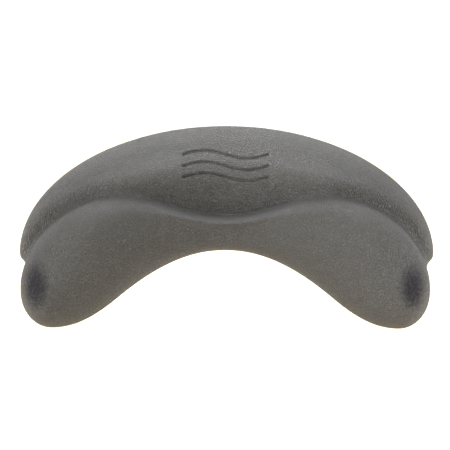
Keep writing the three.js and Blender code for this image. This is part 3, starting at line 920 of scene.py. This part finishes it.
def shade_patch(look):
    """How strongly the painted shade, a dark and soft-edged patch at each lobe's outer end, shows, from 0
    to 1.
    """
    across, _, up = look.add("SeparateXYZ", {"Vector": look.place}).outputs
    sideways = look.math("SUBTRACT", look.math("ABSOLUTE", across), SHADE_PATCH["x"] * MM)
    upwards = look.math("SUBTRACT", up, SHADE_PATCH["z"] * MM)
    from_middle = look.math("DIVIDE", sideways, SHADE_PATCH["wide"] * MM)
    from_height = look.math("DIVIDE", upwards, SHADE_PATCH["high"] * MM)
    spread = look.weighted((from_middle, from_middle), (from_height, from_height))
    unevenness = look.remap(look.noise(420, 3, 0.7), 0.25, 0.75, -0.5, 0.5)
    blotchy = look.math("ADD", spread, unevenness)
    return look.math("POWER", look.remap(blotchy, 0.15, 1.8, 1.0, 0.0), 1.3)


def smooth_skin():
    """The back: the same skin without the grain, faintly rippled from its mould."""
    look = Shader("smooth_skin")
    fine = look.noise(1500, 4, 0.6)
    ripple = look.noise(60, 3, 0.5)
    normal = look.bump(fine, 0.00006, 0.6, look.bump(ripple, 0.0008, 0.3))
    cloudy = look.remap(look.noise(40, 5, 0.6), 0.3, 0.7)
    colour = look.blend_colours(cloudy, grey(0.085, 0.02), grey(0.1, 0.03))
    roughness = look.remap(look.noise(200, 4), 0.3, 0.7, 0.5, 0.62)
    return look.finish(Base_Color=colour, Roughness=roughness, Normal=normal)


def foam_cells():
    """Open foam: small pits with paler walls between them."""
    look = Shader("foam_cells")
    cells = look.cells(1600)
    normal = look.bump(cells, 0.0003, 0.9)
    colour = look.blend_colours(look.remap(cells, 0, 0.6), grey(0.12, 0.03), grey(0.26, 0.05))
    return look.finish(Base_Color=colour, Roughness=0.95, Normal=normal)


def black_plastic():
    """Moulded plastic with a fine spark-eroded texture."""
    look = Shader("black_plastic")
    spark = look.noise(5200, 4, 0.7)
    normal = look.bump(spark, 0.00003, 0.6, look.bump(look.noise(110, 2), 0.0003, 0.2))
    colour = look.blend_colours(look.noise(300, 4, 0.6), grey(0.014), grey(0.024, 0.02))
    roughness = look.remap(spark, 0.3, 0.7, 0.36, 0.5)
    return look.finish(Base_Color=colour, Roughness=roughness, Normal=normal)


def bright_steel():
    """Stainless steel with a faint, fine unevenness."""
    look = Shader("bright_steel")
    marks = look.noise(2600, 5, 0.7)
    normal = look.bump(marks, 0.00002, 0.5)
    colour = look.blend_colours(look.noise(700, 4), grey(0.52), grey(0.62, 0.01))
    roughness = look.remap(marks, 0.3, 0.7, 0.22, 0.36)
    return look.finish(Base_Color=colour, Roughness=roughness, Metallic=1.0, Normal=normal)


# ----------------------------------------------------------------------------------------------------------
# Assembly
# ----------------------------------------------------------------------------------------------------------


def dress(piece, material, node):
    """Gives a finished piece its material, and its place in the frame."""
    piece.data.materials.clear()
    piece.data.materials.append(material)
    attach(piece, BODY)
    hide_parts(node)
    return piece


def build():
    form = closed_form()
    skin_look = grained_skin()
    plastic = black_plastic()
    steel = bright_steel()

    core = foam(form)
    form.name = "front_skin_shell"
    open_back(form)
    panel = back_skin(ordered_rim(form))
    shell = front_skin(form)

    dress(shell, skin_look, "front_skin")
    dress(panel, smooth_skin(), "back_skin")
    dress(core, foam_cells(), "foam_core")
    for side, place in peg_places().items():
        dress(peg(side, place), plastic, f"peg_{side}")
        dress(washer(side, place), steel, f"peg_washer_{side}")
        dress(screw(side, place), steel, f"peg_screw_{side}")
    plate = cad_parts["stiffener_plate"]
    plate.data.materials.clear()
    plate.data.materials.append(plastic)


# ----------------------------------------------------------------------------------------------------------
# Stage
# ----------------------------------------------------------------------------------------------------------


def aimed(obj, place, target, roll=0.0):
    obj.location = place
    look = (Vector(target) - Vector(place)).to_track_quat("-Z", "Y")
    obj.rotation_euler = (look.to_matrix() @ Matrix.Rotation(roll, 3, "Z")).to_euler()


def area_light(name, place, target, size, power, colour=(1, 1, 1)):
    data = bpy.data.lights.new(name, "AREA")
    data.shape = "RECTANGLE"
    data.size, data.size_y = size
    data.energy = power
    data.color = colour
    light = new_object(name, data)
    aimed(light, place, target)


def glowing(name, level, glow, warmth=0.0):
    """A pale, softly lit surface: a light table, or the wall of a light tent."""
    look = Shader(name)
    colour = look.blend_colours(look.noise(3, 2), grey(level), grey(level * 1.05))
    tint = grey(1, warmth)
    return look.finish(Base_Color=colour, Roughness=0.9, Emission_Color=tint, Emission_Strength=glow)


def floor(height):
    """A pale light table that the pillow stands on."""
    reach = 6.0
    corners = [(x * reach, y * reach, height) for x, y in ((-1, -1), (1, -1), (1, 1), (-1, 1))]
    obj = object_from("floor", corners, [(0, 1, 2, 3)])
    obj.data.materials.append(glowing("pale_floor", level=0.2, glow=1.25, warmth=0.15))


def wall(height):
    """A round white wall that closes the view in every direction."""
    radius, rise, steps = 3.6, 0.56, 96
    ring = circle((0, 0), radius, steps)
    points = [(x, y, z) for z in (height, height + rise) for x, y in ring]
    faces = [(k, (k + 1) % steps, (k + 1) % steps + steps, k + steps) for k in range(steps)]
    obj = shade_smooth(object_from("wall", points, faces))
    obj.data.materials.append(glowing("pale_wall", level=0.2, glow=1.05))


def camera(target):
    """A long lens nearly straight in front, a little above and to the right."""
    azimuth, elevation, distance = math.radians(1.2), math.radians(4.0), 2.5
    away = Vector(
        (
            math.sin(azimuth) * math.cos(elevation),
            -math.cos(azimuth) * math.cos(elevation),
            math.sin(elevation),
        )
    )
    data = bpy.data.cameras.new("camera")
    data.lens = 255
    data.sensor_width = 36
    data.clip_end = 30
    obj = new_object("camera", data)
    aimed(obj, target + distance * away, target, roll=math.radians(0.08))
    bpy.context.scene.camera = obj


def stage():
    low, high = (Vector(corner) for corner in cad_box)
    middle = (low + high) / 2
    under = low.z - 0.0005
    right_lobe = Vector((0.12, -0.05, 0))
    camera(Vector((-0.0004, -0.04, middle.z + 0.0017)))
    floor(under)
    wall(under)
    area_light("top", (0, -0.05, 1.5), middle, size=(0.9, 0.8), power=22.5)
    area_light("top_back", (0, 0.7, 1.3), middle, size=(0.9, 0.8), power=20.5)
    area_light("left", (-1.6, -0.43, 0.45), middle, size=(0.8, 0.9), power=35)
    area_light("right", (1.6, 0.1, 0.3), middle, size=(0.8, 0.6), power=10, colour=(0.96, 0.98, 1))
    area_light("right_lobe", (0.45, -0.38, 0.04), right_lobe, size=(0.3, 0.2), power=2.2)
    world = bpy.data.worlds.new("studio")
    world.use_nodes = True
    world.node_tree.nodes["Background"].inputs["Color"].default_value = (1, 1, 1, 1)
    world.node_tree.nodes["Background"].inputs["Strength"].default_value = 0.03
    bpy.context.scene.world = world
    bpy.context.scene.view_settings.view_transform = "Standard"


build()
stage()
